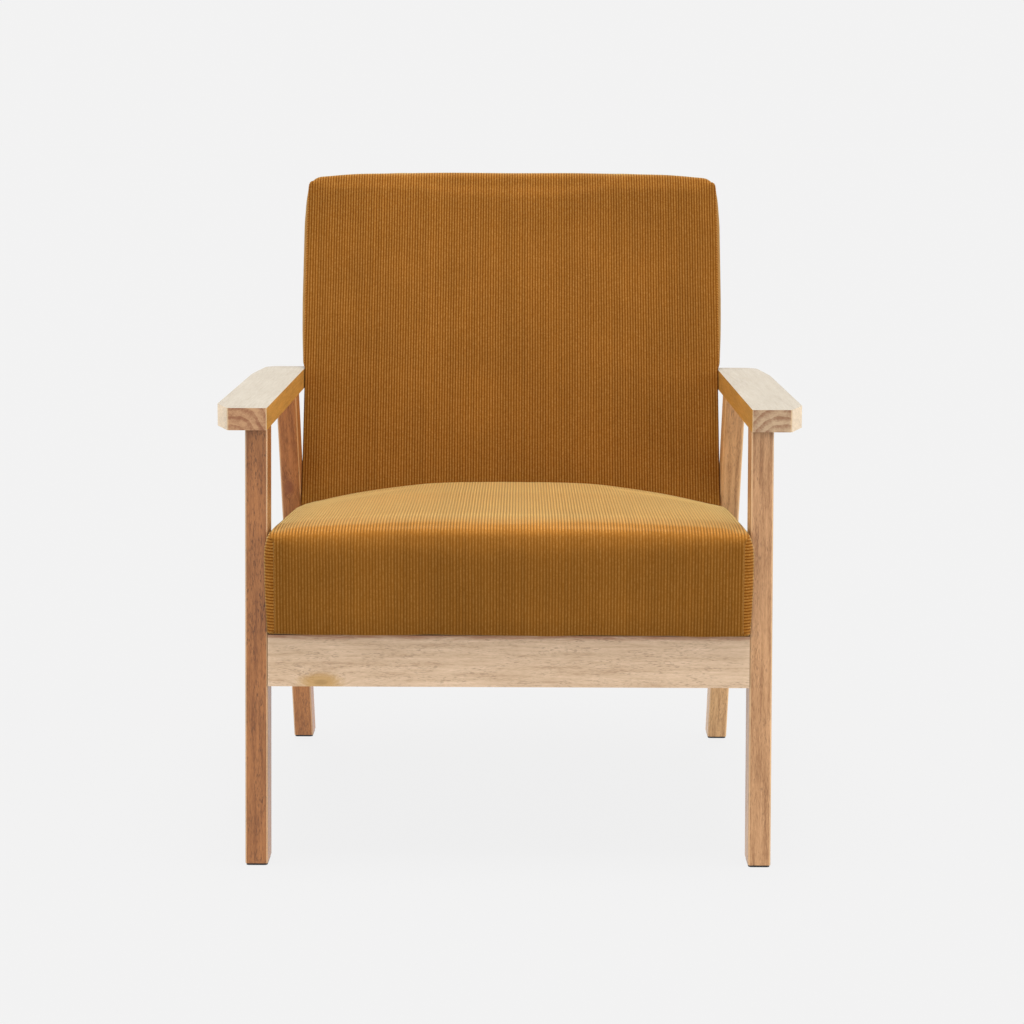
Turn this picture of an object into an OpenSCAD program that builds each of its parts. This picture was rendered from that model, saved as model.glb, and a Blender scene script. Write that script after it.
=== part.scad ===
/* [Overall] */
// Width over the two armrests
overall_w = 690; // [620:1:830]
// Height of the armrest's top above the floor
arm_h = 536; // [500:1:645]
// Lean of the front legs, feet forward
front_lean = 5.5; // [0:0.1:9]
// Lean of the rear legs, feet backward
rear_lean = 24.3; // [16:0.1:27]
// From the front feet's front edge to the rear feet's front edge
foot_spread = 665; // [640:1:720]

/* [Legs and armrests] */
// Thickness of every leg, across the chair
leg_t = 26.5; // [22:0.5:34]
// Width of a front leg, seen from the side
front_leg_d = 48; // [42:1:60]
// Width of a rear leg, seen from the side
rear_leg_d = 45; // [42:1:60]
// Rounding of the legs' long edges
leg_round = 3; // [1:0.5:5]
// Width of an armrest
arm_w = 63; // [48:1:80]
// Thickness of an armrest
arm_t = 26; // [22:1:34]
// Length of an armrest
arm_len = 568; // [540:1:600]
// How far an armrest stands out in front of its leg
arm_nose = 9; // [0:1:20]
// Chamfer at an armrest's front outer corner, across and along
arm_chamfer = [17, 51];

/* [Rails] */
// Height of every rail
rail_h = 60; // [50:1:72]
// Height of the rails' top above the floor
rail_top = 271; // [240:1:300]
// Thickness of the front and rear rails
rail_t = 24; // [20:1:30]
// From the front feet's front edge to the rear rail's front face
rear_rail_y = 424; // [400:1:440]
// Side of a corner block
block_side = 58; // [50:1:70]
// Height of a corner block
block_h = 44; // [35:1:48]

/* [Seat] */
// Height of the seat's top above the floor
seat_top = 390; // [370:1:420]
// From the seat's front face to the back's front face, along the seat's top
seat_depth = 486; // [470:1:500]
// How far the seat stands out in front of the front rail
seat_nose = 10; // [0:1:20]
// Rounding of the seat's upper front edge
seat_round = 20; // [10:1:30]
// Width of the seat frame's bars
seat_bar_w = 45; // [40:1:60]
// Thickness of the seat frame's bars
seat_bar_t = 22; // [18:1:28]
// Thickness of the wadding over the seat foam
wadding_t = 14; // [8:1:20]

/* [Back] */
// Lean of the back
back_lean = 22.7; // [18:0.1:26]
// Height of the back's lower front edge above the floor
back_z = 308; // [300:1:315]
// Length of the back, along its slope
back_len = 534; // [480:1:580]
// Thickness of the back
back_t = 95; // [90:1:120]
// Thickness of the back's foam
back_foam_t = 42; // [30:1:45]
// Thickness of the back frame's bars, across the chair and up its slope
back_bar_w = 26; // [22:1:40]
// Thickness of the back's rear panel
back_panel_t = 3; // [3:0.5:6]

/* [Upholstery] */
// Thickness of the corduroy
cover_t = 1.5; // [1:0.1:2.5]
// Space between the covered cushions and the wood beside them
cushion_gap = 0.8; // [0.5:0.1:3]
// Space between pieces that lie on each other inside a cushion
layer_gap = 0.3; // [0.2:0.1:1]
// From the cover's outside to the frame bars inside a cushion
bar_inset = 9; // [6:0.5:14]
// Width of the cover's turned edge under the seat
cover_hem = 32; // [20:1:40]
// Thickness of the dust cover
dust_t = 0.8; // [0.5:0.1:1.2]
// Width of a webbing strap
strap_w = 58; // [40:1:70]
// Thickness of a webbing strap
strap_t = 2; // [1.5:0.1:3]
// Straps from front to rear, from side to side, and across the back
strap_counts = [6, 4, 5];

/* [Hardware] */
// Diameter of the rails' and the back's bolts
bolt_d = 6; // [5:1:8]
// Diameter and thickness of the rail bolts' flat heads
bolt_head = [15, 2.4];
// Diameter and length of a barrel nut
barrel = [10, 15];
// From a rail's end to its barrel nut's axis
barrel_in = 34; // [28:1:40]
// From a rail's edge to the nearer bolt's axis
bolt_edge = 15; // [13:1:17]
// Depth of the sunk bolt heads below the wood
head_sunk = 0.6; // [0.2:0.1:1.5]
// Diameter and thickness of the back bolts' washers
washer = [18, 1.6];
// Outer diameter and length of a threaded insert
insert = [9, 18];
// Distance between the two back bolts in one leg, along the back's thickness
back_bolt_gap = 22; // [20:1:24]
// Diameter and length of the dowels in the rails
rail_dowel = [8, 42];
// Diameter and length of the dowels in the armrests
arm_dowel = [8, 34];
// How far the armrests' dowels stand in the armrests
arm_dowel_in = 16; // [14:1:20]
// Distance between two dowels in one leg's top
arm_dowel_gap = 20; // [18:1:22]
// Diameter and length of the seat screws
seat_screw = [4.8, 62];
// Clearance around a bolt or a screw in wood, on the radius
bolt_clear = 0.4; // [0.2:0.1:0.8]
// Clearance around a dowel, a nut or a thread, on the radius
tight_clear = 0.05; // [0.03:0.01:0.1]
// Width, length and thickness of a foot glide
glide = [25, 42, 3];
// Diameter and length of a glide's nail
glide_nail = [2.4, 14];

/* [Hidden] */
$fn = 48;
far = 2000;
arc_steps = 6;

beech_pale = [0.87, 0.80, 0.69];
beech_warm = [0.76, 0.58, 0.42];
pine = [0.86, 0.74, 0.55];
corduroy = [0.62, 0.40, 0.16];
steel = [0.72, 0.72, 0.74];

// Places that follow from the sizes above. Y counts from the front feet's front edge until
// the whole chair is centred by seat_the_chair.
inner_x = overall_w / 2 - arm_w;
outer_x = inner_x + leg_t;
arm_under = arm_h - arm_t;
rail_bottom = rail_top - rail_h;
floor_gap = glide[2];

function front_leg_y(z) = tan(front_lean) * (z - floor_gap);
function front_leg_rear_y(z) = front_leg_y(z) + front_leg_d / cos(front_lean);
function rear_leg_y(z) = foot_spread - tan(rear_lean) * (z - floor_gap);
function rear_leg_mid_y(z) = rear_leg_y(z) + rear_leg_d / 2 / cos(rear_lean);

arm_y = front_leg_y(arm_under) - arm_nose;
cushion_x = inner_x - cushion_gap;
filling_x = cushion_x - cover_t - layer_gap;
bars_x = cushion_x - bar_inset;

seat_front = front_leg_y(rail_top) - seat_nose;
seat_bottom = rail_top + layer_gap;
back_y = seat_front + seat_depth - tan(back_lean) * (seat_top - back_z);
function back_front_y(z) = back_y + tan(back_lean) * (z - back_z);
seat_back_gap = 2.5;

back_top_round = 8;
overall_d = back_y + (back_t - back_top_round) * cos(back_lean)
    + (back_len - back_top_round) * sin(back_lean) + back_top_round;

// Layers inside the seat, from below
seat_bar_z = seat_bottom + cover_t + layer_gap;
long_strap_z = seat_bar_z + seat_bar_t + layer_gap;
cross_strap_z = long_strap_z + strap_t + layer_gap;
seat_foam_z = cross_strap_z + strap_t + layer_gap;
wadding_z = seat_top - cover_t - layer_gap - wadding_t;

// Layers inside the back, from its front face
back_strap_y = cover_t + layer_gap + back_foam_t + layer_gap;
back_bar_y = back_strap_y + strap_t + layer_gap;
back_panel_y = back_t - cover_t - layer_gap - back_panel_t;
back_bar_d = back_panel_y - layer_gap - back_bar_y;

// Height at which a rear leg's middle line crosses a given depth of the back
function leg_crossing_z(depth) =
    ((rear_leg_mid_y(0) - back_y) * cos(back_lean) + back_z * sin(back_lean) - depth)
    / (tan(rear_lean) * cos(back_lean) + sin(back_lean));
back_bolt_zs = [for (s = [-1, 1]) leg_crossing_z(back_bar_y + back_bar_d / 2 + s * back_bolt_gap / 2)];
// Bearing faces of the sunk bolt heads
rail_head_x = outer_x - bolt_head[1] - head_sunk;
back_head_x = outer_x - washer[1] - bolt_d * 0.7 - head_sunk;
back_bolt_len = back_head_x + washer[1] - (bars_x - insert[1]) - 1;

rail_bolt_zs = [rail_bottom + bolt_edge, rail_top - bolt_edge];
rail_mid_z = rail_top - rail_h / 2;
rail_bolt_len = rail_head_x - inner_x + barrel_in + barrel[0] / 2 + 6;
dowel_end_gap = 1;

// ---- Outlines ----

// Corner of a polygon moved inward by d, for a polygon whose points run anticlockwise
function unit(v) = v / norm(v);
function inward(a, b) = let (u = unit(b - a)) [-u[1], u[0]];
function moved_corner(a, b, c, d) =
    let (n1 = inward(a, b), n2 = inward(b, c)) b + d * (n1 + n2) / (1 + n1 * n2);
function inset_points(pts, d) = let (n = len(pts))
    [for (i = [0 : n - 1]) moved_corner(pts[(i + n - 1) % n], pts[i], pts[(i + 1) % n], d)];

// Arc that rounds the corner b with radius r
function corner_arc(a, b, c, r) =
    let (u = unit(a - b), v = unit(c - b), half = acos(u * v) / 2,
         centre = b + unit(u + v) * r / sin(half), start = b + u * r / tan(half),
         turn = 180 - 2 * half, from = start - centre)
    [for (i = [0 : arc_steps]) let (t = turn * i / arc_steps)
        centre + [from[0] * cos(t) - from[1] * sin(t), from[0] * sin(t) + from[1] * cos(t)]];
function rounded_points(pts, radii) = let (n = len(pts))
    [for (i = [0 : n - 1])
        each corner_arc(pts[(i + n - 1) % n], pts[i], pts[(i + 1) % n], max(radii[i], 0.3))];

// Side outline of the seat, d inside its cover
seat_corners = [
    [seat_front, seat_bottom], [back_front_y(seat_bottom) - seat_back_gap, seat_bottom],
    [back_front_y(seat_top) - seat_back_gap, seat_top], [seat_front, seat_top]
];
seat_radii = [5, 5, 10, seat_round];
function seat_outline(d) =
    rounded_points(inset_points(seat_corners, d), [for (r = seat_radii) r - d]);

// Side outline of the back in its own leaning frame, d inside its cover
back_corners = [[0, 0], [back_t, 0], [back_t, back_len], [0, back_len]];
back_radii = [10, 8, back_top_round, 12];
function back_outline(d) =
    rounded_points(inset_points(back_corners, d), [for (r = back_radii) r - d]);

filling = cover_t + layer_gap;

// ---- Helpers ----

// Extrudes a side outline (Y, Z) across the chair, from x0 over the width w
module across(x0, w) {
    translate([x0, 0, 0]) rotate([90, 0, 90]) linear_extrude(w) children();
}
// Everything stands with the middle of its overall depth at Y = 0
module seat_the_chair() {
    translate([0, -overall_d / 2, 0]) children();
}
module mirrored(side) {
    if (side < 0) mirror([1, 0, 0]) children();
    else children();
}
module both_sides() {
    for (side = [-1, 1]) mirrored(side) children();
}
// Frame that leans with the front legs: Y = 0 is their front face
module front_leaning() {
    translate([0, 0, floor_gap]) rotate([-front_lean, 0, 0]) children();
}
// Frame that leans with the back: Y = 0 is its front face, Z runs up its slope
module back_leaning() {
    translate([0, back_y, back_z]) rotate([-back_lean, 0, 0]) children();
}
// Cylinder along +X, +Y
module along_x(r, len) { rotate([0, 90, 0]) cylinder(r = r, h = len); }
module along_y(r, len) { rotate([-90, 0, 0]) cylinder(r = r, h = len); }

module layer(z0, z1) {
    translate([-far / 2, -far / 2, z0]) cube([far, far, z1 - z0]);
}

// ---- Hardware, each grown by g where it is used to cut its own hole ----

function leaning_z(z) = (z - floor_gap) / cos(front_lean);

module front_rail_bolts_at() {
    front_leaning() for (z = rail_bolt_zs) translate([0, rail_t / 2, leaning_z(z)]) children();
}
module rear_rail_bolts_at() {
    for (z = rail_bolt_zs) translate([0, rear_rail_y + rail_t / 2, z]) children();
}
module rail_bolt(g = 0) {
    translate([rail_head_x - rail_bolt_len - 2 * g, 0, 0])
        along_x(bolt_d / 2 + g, rail_bolt_len + 3 * g);
    translate([rail_head_x, 0, 0]) along_x(bolt_head[0] / 2 + g, bolt_head[1] + (g > 0 ? 5 : 0));
}
module rail_bolts_right(g = 0) {
    front_rail_bolts_at() rail_bolt(g);
    rear_rail_bolts_at() rail_bolt(g);
}
// toward = 1 when the nut goes in from the rail's rear face, -1 from its front face
module barrel_nut(toward, g = 0) {
    translate([inner_x - barrel_in, toward * (rail_t / 2 - barrel[1] + 1), 0])
        mirror([0, toward < 0 ? 1 : 0, 0]) along_y(barrel[0] / 2 + g, barrel[1] - 1 + 20 * g);
}
module rail_dowel_right(g = 0) {
    len = rail_dowel[1] + (g > 0 ? dowel_end_gap : 0);
    translate([inner_x + 18 + (g > 0 ? dowel_end_gap / 2 : 0) - len, 0, 0])
        along_x(rail_dowel[0] / 2 + g, len);
}
module rail_dowels_right(g = 0) {
    front_leaning() translate([0, rail_t / 2, leaning_z(rail_mid_z)]) rail_dowel_right(g);
    translate([0, rear_rail_y + rail_t / 2, rail_mid_z]) rail_dowel_right(g);
}
module side_dowel(y, z, g) {
    len = rail_dowel[1] + (g > 0 ? dowel_end_gap : 0);
    translate([inner_x + leg_t / 2, y - len / 2, z]) along_y(rail_dowel[0] / 2 + g, len);
}
module side_rail_dowels_right(g = 0) {
    for (z = rail_bolt_zs) {
        side_dowel(front_leg_rear_y(z), z, g);
        side_dowel(rear_leg_y(z), z, g);
    }
}
// Two upright dowels in a leg's top, kept in the middle of the wood as the leg leans
module arm_dowel_pair(mid_y, lean, g) {
    in_leg = arm_dowel[1] - arm_dowel_in;
    len = arm_dowel[1] + (g > 0 ? dowel_end_gap : 0);
    for (s = [-1, 1])
        translate([inner_x + leg_t / 2, mid_y + tan(lean) * in_leg / 2 + s * arm_dowel_gap / 2,
                   arm_under + arm_dowel_in - arm_dowel[1] - (g > 0 ? dowel_end_gap / 2 : 0)])
            cylinder(r = arm_dowel[0] / 2 + g, h = len);
}
module arm_dowels_right(g = 0) {
    arm_dowel_pair(front_leg_y(arm_under) + front_leg_d / 2 / cos(front_lean), -front_lean, g);
    arm_dowel_pair(rear_leg_mid_y(arm_under), rear_lean, g);
}
module back_bolts_at() {
    for (z = back_bolt_zs) translate([0, rear_leg_mid_y(z), z]) children();
}
module back_bolt_shanks(g = 0) {
    back_bolts_at() translate([back_head_x + washer[1] - back_bolt_len - 2 * g, 0, 0])
        along_x(bolt_d / 2 + g, back_bolt_len + 4 * g);
}
module back_head_holes() {
    back_bolts_at() translate([back_head_x, 0, 0]) along_x(washer[0] / 2 + bolt_clear, leg_t);
}
module insert_bodies(g = 0) {
    back_bolts_at() translate([bars_x - insert[1] - g, 0, 0])
        along_x(insert[0] / 2 + g, insert[1] + 2 * g);
}
// Seat screws stand through the corner blocks, up into the seat frame's side bars
block_z = rail_top - block_h;
front_block_y = front_leg_y(rail_top) + rail_t / cos(front_lean) + layer_gap;
screw_in = 20;
screw_ys = [front_block_y + screw_in, rear_rail_y - screw_in];
module seat_screws_at() {
    for (y = screw_ys) translate([inner_x - screw_in, y, block_z]) children();
}
module seat_screw_holes(g) {
    seat_screws_at() translate([0, 0, -1]) cylinder(r = seat_screw[0] / 2 + g, h = seat_screw[1] + 2);
}
module glides_at() {
    for (y = [front_leg_d / 2 / cos(front_lean), foot_spread + rear_leg_d / 2 / cos(rear_lean)])
        translate([inner_x + leg_t / 2, y, 0]) children();
}
module glide_nails(g = 0) {
    glides_at() translate([0, 0, floor_gap - 1])
        cylinder(r = glide_nail[0] / 2 + g, h = glide_nail[1] + 1 + 10 * g);
}

// ---- Wooden frame ----

// Planed stock with rounded long edges, t across and d deep
module stock(t, d, r) {
    translate([r, 0]) square([t - 2 * r, d]);
    translate([0, r]) square([t, d - 2 * r]);
    for (x = [r, t - r], y = [r, d - r]) translate([x, y]) circle(r);
}
module leaning_leg(foot_y, depth, lean) {
    intersection() {
        translate([inner_x, foot_y, floor_gap]) rotate([-lean, 0, 0])
            translate([0, 0, -depth]) linear_extrude(arm_h * 1.4) stock(leg_t, depth, leg_round);
        layer(floor_gap, arm_under);
    }
}
module front_leg(side) {
    color(beech_warm) seat_the_chair() mirrored(side) difference() {
        leaning_leg(0, front_leg_d, front_lean);
        rail_bolts_right(bolt_clear);
        rail_dowels_right(tight_clear);
        side_rail_dowels_right(tight_clear);
        arm_dowels_right(tight_clear);
        glide_nails(tight_clear);
    }
}
module rear_leg(side) {
    color(beech_warm) seat_the_chair() mirrored(side) difference() {
        leaning_leg(foot_spread, rear_leg_d, -rear_lean);
        side_rail_dowels_right(tight_clear);
        arm_dowels_right(tight_clear);
        back_bolt_shanks(bolt_clear);
        back_head_holes();
        glide_nails(tight_clear);
    }
}
// Top outline of the right armrest: chamfered in front, drawn in towards the rear
arm_rear_in = 9;
arm_rear_run = 118;
arm_corners = [
    [inner_x, arm_y], [overall_w / 2 - arm_chamfer[0], arm_y],
    [overall_w / 2, arm_y + arm_chamfer[1]], [overall_w / 2, arm_y + arm_len - arm_rear_run],
    [overall_w / 2 - arm_rear_in, arm_y + arm_len], [inner_x, arm_y + arm_len]
];
arm_radii = [2, 4, 6, 400, 20, 2];
module armrest(side) {
    color(beech_pale) seat_the_chair() mirrored(side) difference() {
        translate([0, 0, arm_under]) linear_extrude(arm_t)
            polygon(rounded_points(arm_corners, arm_radii));
        arm_dowels_right(tight_clear);
    }
}
module side_rail(side) {
    color(beech_warm) seat_the_chair() mirrored(side) difference() {
        across(inner_x, leg_t) polygon([
            [front_leg_rear_y(rail_bottom), rail_bottom], [rear_leg_y(rail_bottom), rail_bottom],
            [rear_leg_y(rail_top), rail_top], [front_leg_rear_y(rail_top), rail_top]
        ]);
        side_rail_dowels_right(tight_clear);
        rail_bolts_right(bolt_clear);
        rail_dowels_right(tight_clear);
    }
}
module rail_hardware_holes() {
    both_sides() {
        rail_bolts_right(bolt_clear);
        rail_dowels_right(tight_clear);
        front_rail_bolts_at() barrel_nut(1, tight_clear);
        rear_rail_bolts_at() barrel_nut(1, tight_clear);
    }
}
module front_rail() {
    color(beech_pale) seat_the_chair() difference() {
        across(-inner_x, 2 * inner_x) polygon([for (z = [rail_bottom, rail_top], s = [0, 1])
            [front_leg_y(z) + (z == rail_top ? 1 - s : s) * rail_t / cos(front_lean), z]]);
        rail_hardware_holes();
    }
}
module rear_rail() {
    color(beech_pale) seat_the_chair() difference() {
        translate([-inner_x, rear_rail_y, rail_bottom]) cube([2 * inner_x, rail_t, rail_h]);
        rail_hardware_holes();
    }
}
module corner_block(y, toward) {
    difference() {
        translate([inner_x, y, block_z]) mirror([0, toward < 0 ? 1 : 0, 0])
            linear_extrude(block_h)
                polygon([[0, 0], [0, block_side], [-12, block_side], [-block_side, 12], [-block_side, 0]]);
        seat_screw_holes(bolt_clear);
        rail_hardware_holes();
    }
}
module corner_blocks() {
    color(pine) seat_the_chair() both_sides() {
        corner_block(front_block_y, 1);
        corner_block(rear_rail_y, -1);
    }
}
module foot_glides() {
    color([0.1, 0.1, 0.1]) seat_the_chair() both_sides() {
        glides_at() translate([-glide[0] / 2, -glide[1] / 2, 0]) linear_extrude(glide[2])
            stock(glide[0], glide[1], 4);
        glide_nails();
    }
}

// ---- Seat ----

module seat_frame_blank() {
    difference() {
        across(-bars_x, 2 * bars_x) intersection() {
            polygon(seat_outline(filling));
            translate([seat_front + bar_inset, seat_bar_z]) square([far, seat_bar_t]);
        }
        both_sides() seat_screw_holes(tight_clear);
    }
}
side_bar_y0 = seat_front + bar_inset + seat_bar_w;
side_bar_y1 = back_front_y(seat_bar_z) - seat_back_gap - filling / cos(back_lean) - seat_bar_w;
module seat_frame_part(x0, x1, y0, y1) {
    color(pine) seat_the_chair() intersection() {
        seat_frame_blank();
        translate([x0, y0, seat_bar_z - 1]) cube([x1 - x0, y1 - y0, seat_bar_t + 2]);
    }
}
module seat_frame_front() { seat_frame_part(-far / 2, far / 2, 0, side_bar_y0); }
module seat_frame_rear() { seat_frame_part(-far / 2, far / 2, side_bar_y1, far); }
module seat_frame_right() {
    seat_frame_part(bars_x - seat_bar_w, far / 2, side_bar_y0, side_bar_y1);
}
module seat_frame_left() {
    seat_frame_part(-far / 2, seat_bar_w - bars_x, side_bar_y0, side_bar_y1);
}
// Straps share out the span from a to b evenly
function strap_starts(a, b, count, w) =
    [for (i = [0 : count - 1]) a + (b - a) * (i + 0.5) / count - w / 2];
strap_inset = 12;
module seat_webbing_long() {
    y0 = seat_front + bar_inset + strap_inset;
    y1 = side_bar_y1 + seat_bar_w - strap_inset;
    color([0.15, 0.15, 0.15]) seat_the_chair()
        for (x = strap_starts(-bars_x, bars_x, strap_counts[0], strap_w))
            translate([x, y0, long_strap_z]) cube([strap_w, y1 - y0, strap_t]);
}
module seat_webbing_cross() {
    x1 = bars_x - strap_inset;
    color([0.2, 0.2, 0.2]) seat_the_chair()
        for (y = strap_starts(side_bar_y0 - strap_inset, side_bar_y1 + strap_inset, strap_counts[1], strap_w))
            translate([-x1, y, cross_strap_z]) cube([2 * x1, strap_w, strap_t]);
}
module seat_filling(z0, z1) {
    seat_the_chair() across(-filling_x, 2 * filling_x) intersection() {
        polygon(seat_outline(filling));
        translate([-far / 2, z0]) square([far, z1 - z0]);
    }
}
module seat_foam() { color([0.95, 0.9, 0.7]) seat_filling(seat_foam_z, wadding_z - layer_gap); }
module seat_wadding() { color("white") seat_filling(wadding_z, seat_top); }
hem_y0 = seat_front + cover_hem;
hem_y1 = back_front_y(seat_bottom) - seat_back_gap - cover_hem;
module seat_window(g, z0, z1) {
    translate([cover_hem - cushion_x + g, hem_y0 + g, z0])
        cube([2 * (cushion_x - cover_hem - g), hem_y1 - hem_y0 - 2 * g, z1 - z0]);
}
module seat_cover() {
    color(corduroy) seat_the_chair() difference() {
        across(-cushion_x, 2 * cushion_x) polygon(seat_outline(0));
        across(cover_t - cushion_x, 2 * (cushion_x - cover_t)) polygon(seat_outline(cover_t));
        seat_window(0, rail_top - 1, seat_bottom + cover_t + 1);
        both_sides() seat_screw_holes(bolt_clear);
    }
}
module seat_dust_cover() {
    color([0.12, 0.12, 0.12]) seat_the_chair()
        seat_window(1, seat_bar_z - layer_gap - dust_t, seat_bar_z - layer_gap);
}
module seat_screws() {
    color(steel) seat_the_chair() both_sides() seat_screws_at() {
        cylinder(r = seat_screw[0] / 2, h = seat_screw[1]);
        translate([0, 0, -2.5]) cylinder(r = 5.5, h = 2.5);
    }
}

// ---- Back ----

module back_frame_blank() {
    difference() {
        back_leaning() across(-bars_x, 2 * bars_x)
            translate([back_bar_y, bar_inset]) square([back_bar_d, back_len - 2 * bar_inset]);
        both_sides() {
            back_bolt_shanks(bolt_clear);
            insert_bodies(tight_clear);
        }
    }
}
module back_frame_part(x0, x1, z0, z1) {
    color(pine) seat_the_chair() intersection() {
        back_frame_blank();
        back_leaning() translate([x0, 0, z0]) cube([x1 - x0, back_t, z1 - z0]);
    }
}
stile_x = bars_x - back_bar_w;
module back_frame_right() { back_frame_part(stile_x, bars_x, 0, back_len); }
module back_frame_left() { back_frame_part(-bars_x, -stile_x, 0, back_len); }
module back_frame_top() {
    back_frame_part(-stile_x, stile_x, back_len - bar_inset - back_bar_w, back_len);
}
module back_frame_bottom() { back_frame_part(-stile_x, stile_x, 0, bar_inset + back_bar_w); }
module back_webbing() {
    x1 = bars_x - strap_inset;
    color([0.15, 0.15, 0.15]) seat_the_chair() back_leaning()
        for (z = strap_starts(back_bar_w, back_len - back_bar_w, strap_counts[2], strap_w))
            translate([-x1, back_strap_y, z]) cube([2 * x1, strap_t, strap_w]);
}
module back_foam() {
    color([0.95, 0.9, 0.7]) seat_the_chair() back_leaning() across(-filling_x, 2 * filling_x)
        intersection() {
            polygon(back_outline(filling));
            square([filling + back_foam_t, back_len]);
        }
}
module back_rear_panel() {
    color([0.45, 0.33, 0.2]) seat_the_chair() back_leaning()
        translate([-bars_x, back_panel_y, bar_inset])
            cube([2 * bars_x, back_panel_t, back_len - 2 * bar_inset]);
}
module back_cover() {
    color(corduroy) seat_the_chair() difference() {
        back_leaning() across(-cushion_x, 2 * cushion_x) polygon(back_outline(0));
        back_leaning() across(cover_t - cushion_x, 2 * (cushion_x - cover_t))
            polygon(back_outline(cover_t));
        both_sides() back_bolt_shanks(bolt_clear);
    }
}
module back_bolts() {
    color(steel) seat_the_chair() both_sides() {
        back_bolt_shanks();
        back_bolts_at() translate([back_head_x + washer[1], 0, 0]) difference() {
            along_x(bolt_d * 0.85, bolt_d * 0.7);
            translate([bolt_d * 0.3, 0, 0]) rotate([0, 90, 0]) cylinder(d = bolt_d * 0.75, h = bolt_d, $fn = 6);
        }
    }
}
module back_washers() {
    color(steel) seat_the_chair() both_sides() back_bolts_at()
        translate([back_head_x, 0, 0]) difference() {
            along_x(washer[0] / 2, washer[1]);
            translate([-1, 0, 0]) along_x(bolt_d / 2 + bolt_clear, washer[1] + 2);
        }
}
module back_inserts() {
    color([0.75, 0.6, 0.3]) seat_the_chair() both_sides() difference() {
        insert_bodies();
        back_bolt_shanks(tight_clear);
    }
}

// ---- Fasteners of the wooden frame ----

module rail_bolts() { color(steel) seat_the_chair() both_sides() rail_bolts_right(); }
module barrel_nuts() {
    color(steel) seat_the_chair() both_sides() difference() {
        union() {
            front_rail_bolts_at() barrel_nut(1);
            rear_rail_bolts_at() barrel_nut(1);
        }
        rail_bolts_right(tight_clear);
    }
}
module rail_dowels() { color(pine) seat_the_chair() both_sides() rail_dowels_right(); }
module side_rail_dowels() { color(pine) seat_the_chair() both_sides() side_rail_dowels_right(); }
module arm_dowels() { color(pine) seat_the_chair() both_sides() arm_dowels_right(); }

front_leg(-1);  // left_front_leg
front_leg(1);  // right_front_leg
rear_leg(-1);  // left_rear_leg
rear_leg(1);  // right_rear_leg
armrest(-1);  // left_armrest
armrest(1);  // right_armrest
side_rail(-1);  // left_side_rail
side_rail(1);  // right_side_rail
front_rail();
rear_rail();
corner_blocks();
foot_glides();
seat_frame_front();
seat_frame_rear();
seat_frame_left();
seat_frame_right();
seat_webbing_long();
seat_webbing_cross();
seat_foam();
seat_wadding();
seat_cover();
seat_dust_cover();
seat_screws();
back_frame_left();
back_frame_right();
back_frame_top();
back_frame_bottom();
back_webbing();
back_foam();
back_rear_panel();
back_cover();
back_bolts();
back_washers();
back_inserts();
rail_bolts();
barrel_nuts();
rail_dowels();
side_rail_dowels();
arm_dowels();
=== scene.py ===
import math

import bpy
import numpy as np
from mathutils import Matrix, Vector
from mathutils.kdtree import KDTree


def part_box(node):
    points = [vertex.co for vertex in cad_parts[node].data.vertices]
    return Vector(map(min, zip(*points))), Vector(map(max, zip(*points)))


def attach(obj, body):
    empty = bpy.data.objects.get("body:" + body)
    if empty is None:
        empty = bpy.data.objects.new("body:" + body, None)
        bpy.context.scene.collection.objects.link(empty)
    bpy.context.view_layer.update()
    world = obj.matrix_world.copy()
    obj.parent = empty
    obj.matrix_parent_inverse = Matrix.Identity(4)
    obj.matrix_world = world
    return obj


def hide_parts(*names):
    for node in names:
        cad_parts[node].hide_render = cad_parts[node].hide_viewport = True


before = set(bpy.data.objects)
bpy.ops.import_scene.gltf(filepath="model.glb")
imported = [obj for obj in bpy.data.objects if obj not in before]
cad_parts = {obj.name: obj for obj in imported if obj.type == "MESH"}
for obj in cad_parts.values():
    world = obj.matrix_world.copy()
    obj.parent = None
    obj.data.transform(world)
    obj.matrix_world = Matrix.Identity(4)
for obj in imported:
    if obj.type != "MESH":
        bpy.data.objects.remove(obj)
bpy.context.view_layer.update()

MM = 0.001

# ---------------------------------------------------------------------------
# Places worked out from the frame
# ---------------------------------------------------------------------------

SEAT_LO, SEAT_HI = (Vector(corner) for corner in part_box("seat_cover"))
LEG_LO = Vector(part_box("right_front_leg")[0])
REAR_LEG_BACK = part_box("right_rear_leg")[1][1]   # the rear foot's rearmost edge
ARM_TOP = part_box("right_armrest")[1][2]
RAIL_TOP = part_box("front_rail")[1][2]
INNER_X = LEG_LO.x                 # inner faces of the legs and armrests
LEG_DEPTH = 0.0482                 # a front leg, front to rear, measured level
REAR_LEG_WIDTH = 0.045             # a rear leg, front to rear, square to its length
FRONT_LEAN = math.radians(5.5)
REAR_LEAN = math.radians(24.3)
BACK_LEAN = math.radians(22.7)

scene = bpy.context.scene
scene.view_settings.view_transform = "Standard"


# ---------------------------------------------------------------------------
# Camera
# ---------------------------------------------------------------------------

def add_camera():
    """A long lens a little above the chair's top, looking slightly down, straight from in front."""
    distance = 2.95          # from the front feet
    height = 0.843
    side = 0.0127
    pitch, yaw, roll = math.radians(8.14), math.radians(0.18), math.radians(0.20)
    lens_in_widths = 2.5275  # focal length over the picture's width
    data = bpy.data.cameras.new("camera")
    data.lens = data.sensor_width * lens_in_widths
    camera = bpy.data.objects.new("camera", data)
    scene.collection.objects.link(camera)
    camera.matrix_world = (
        Matrix.Translation((side, LEG_LO.y - distance, height))
        @ Matrix.Rotation(yaw, 4, "Z")
        @ Matrix.Rotation(math.pi / 2 - pitch, 4, "X")
        @ Matrix.Rotation(roll, 4, "Z")
    )
    scene.camera = camera


add_camera()


# ---------------------------------------------------------------------------
# Node helpers
# ---------------------------------------------------------------------------

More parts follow.
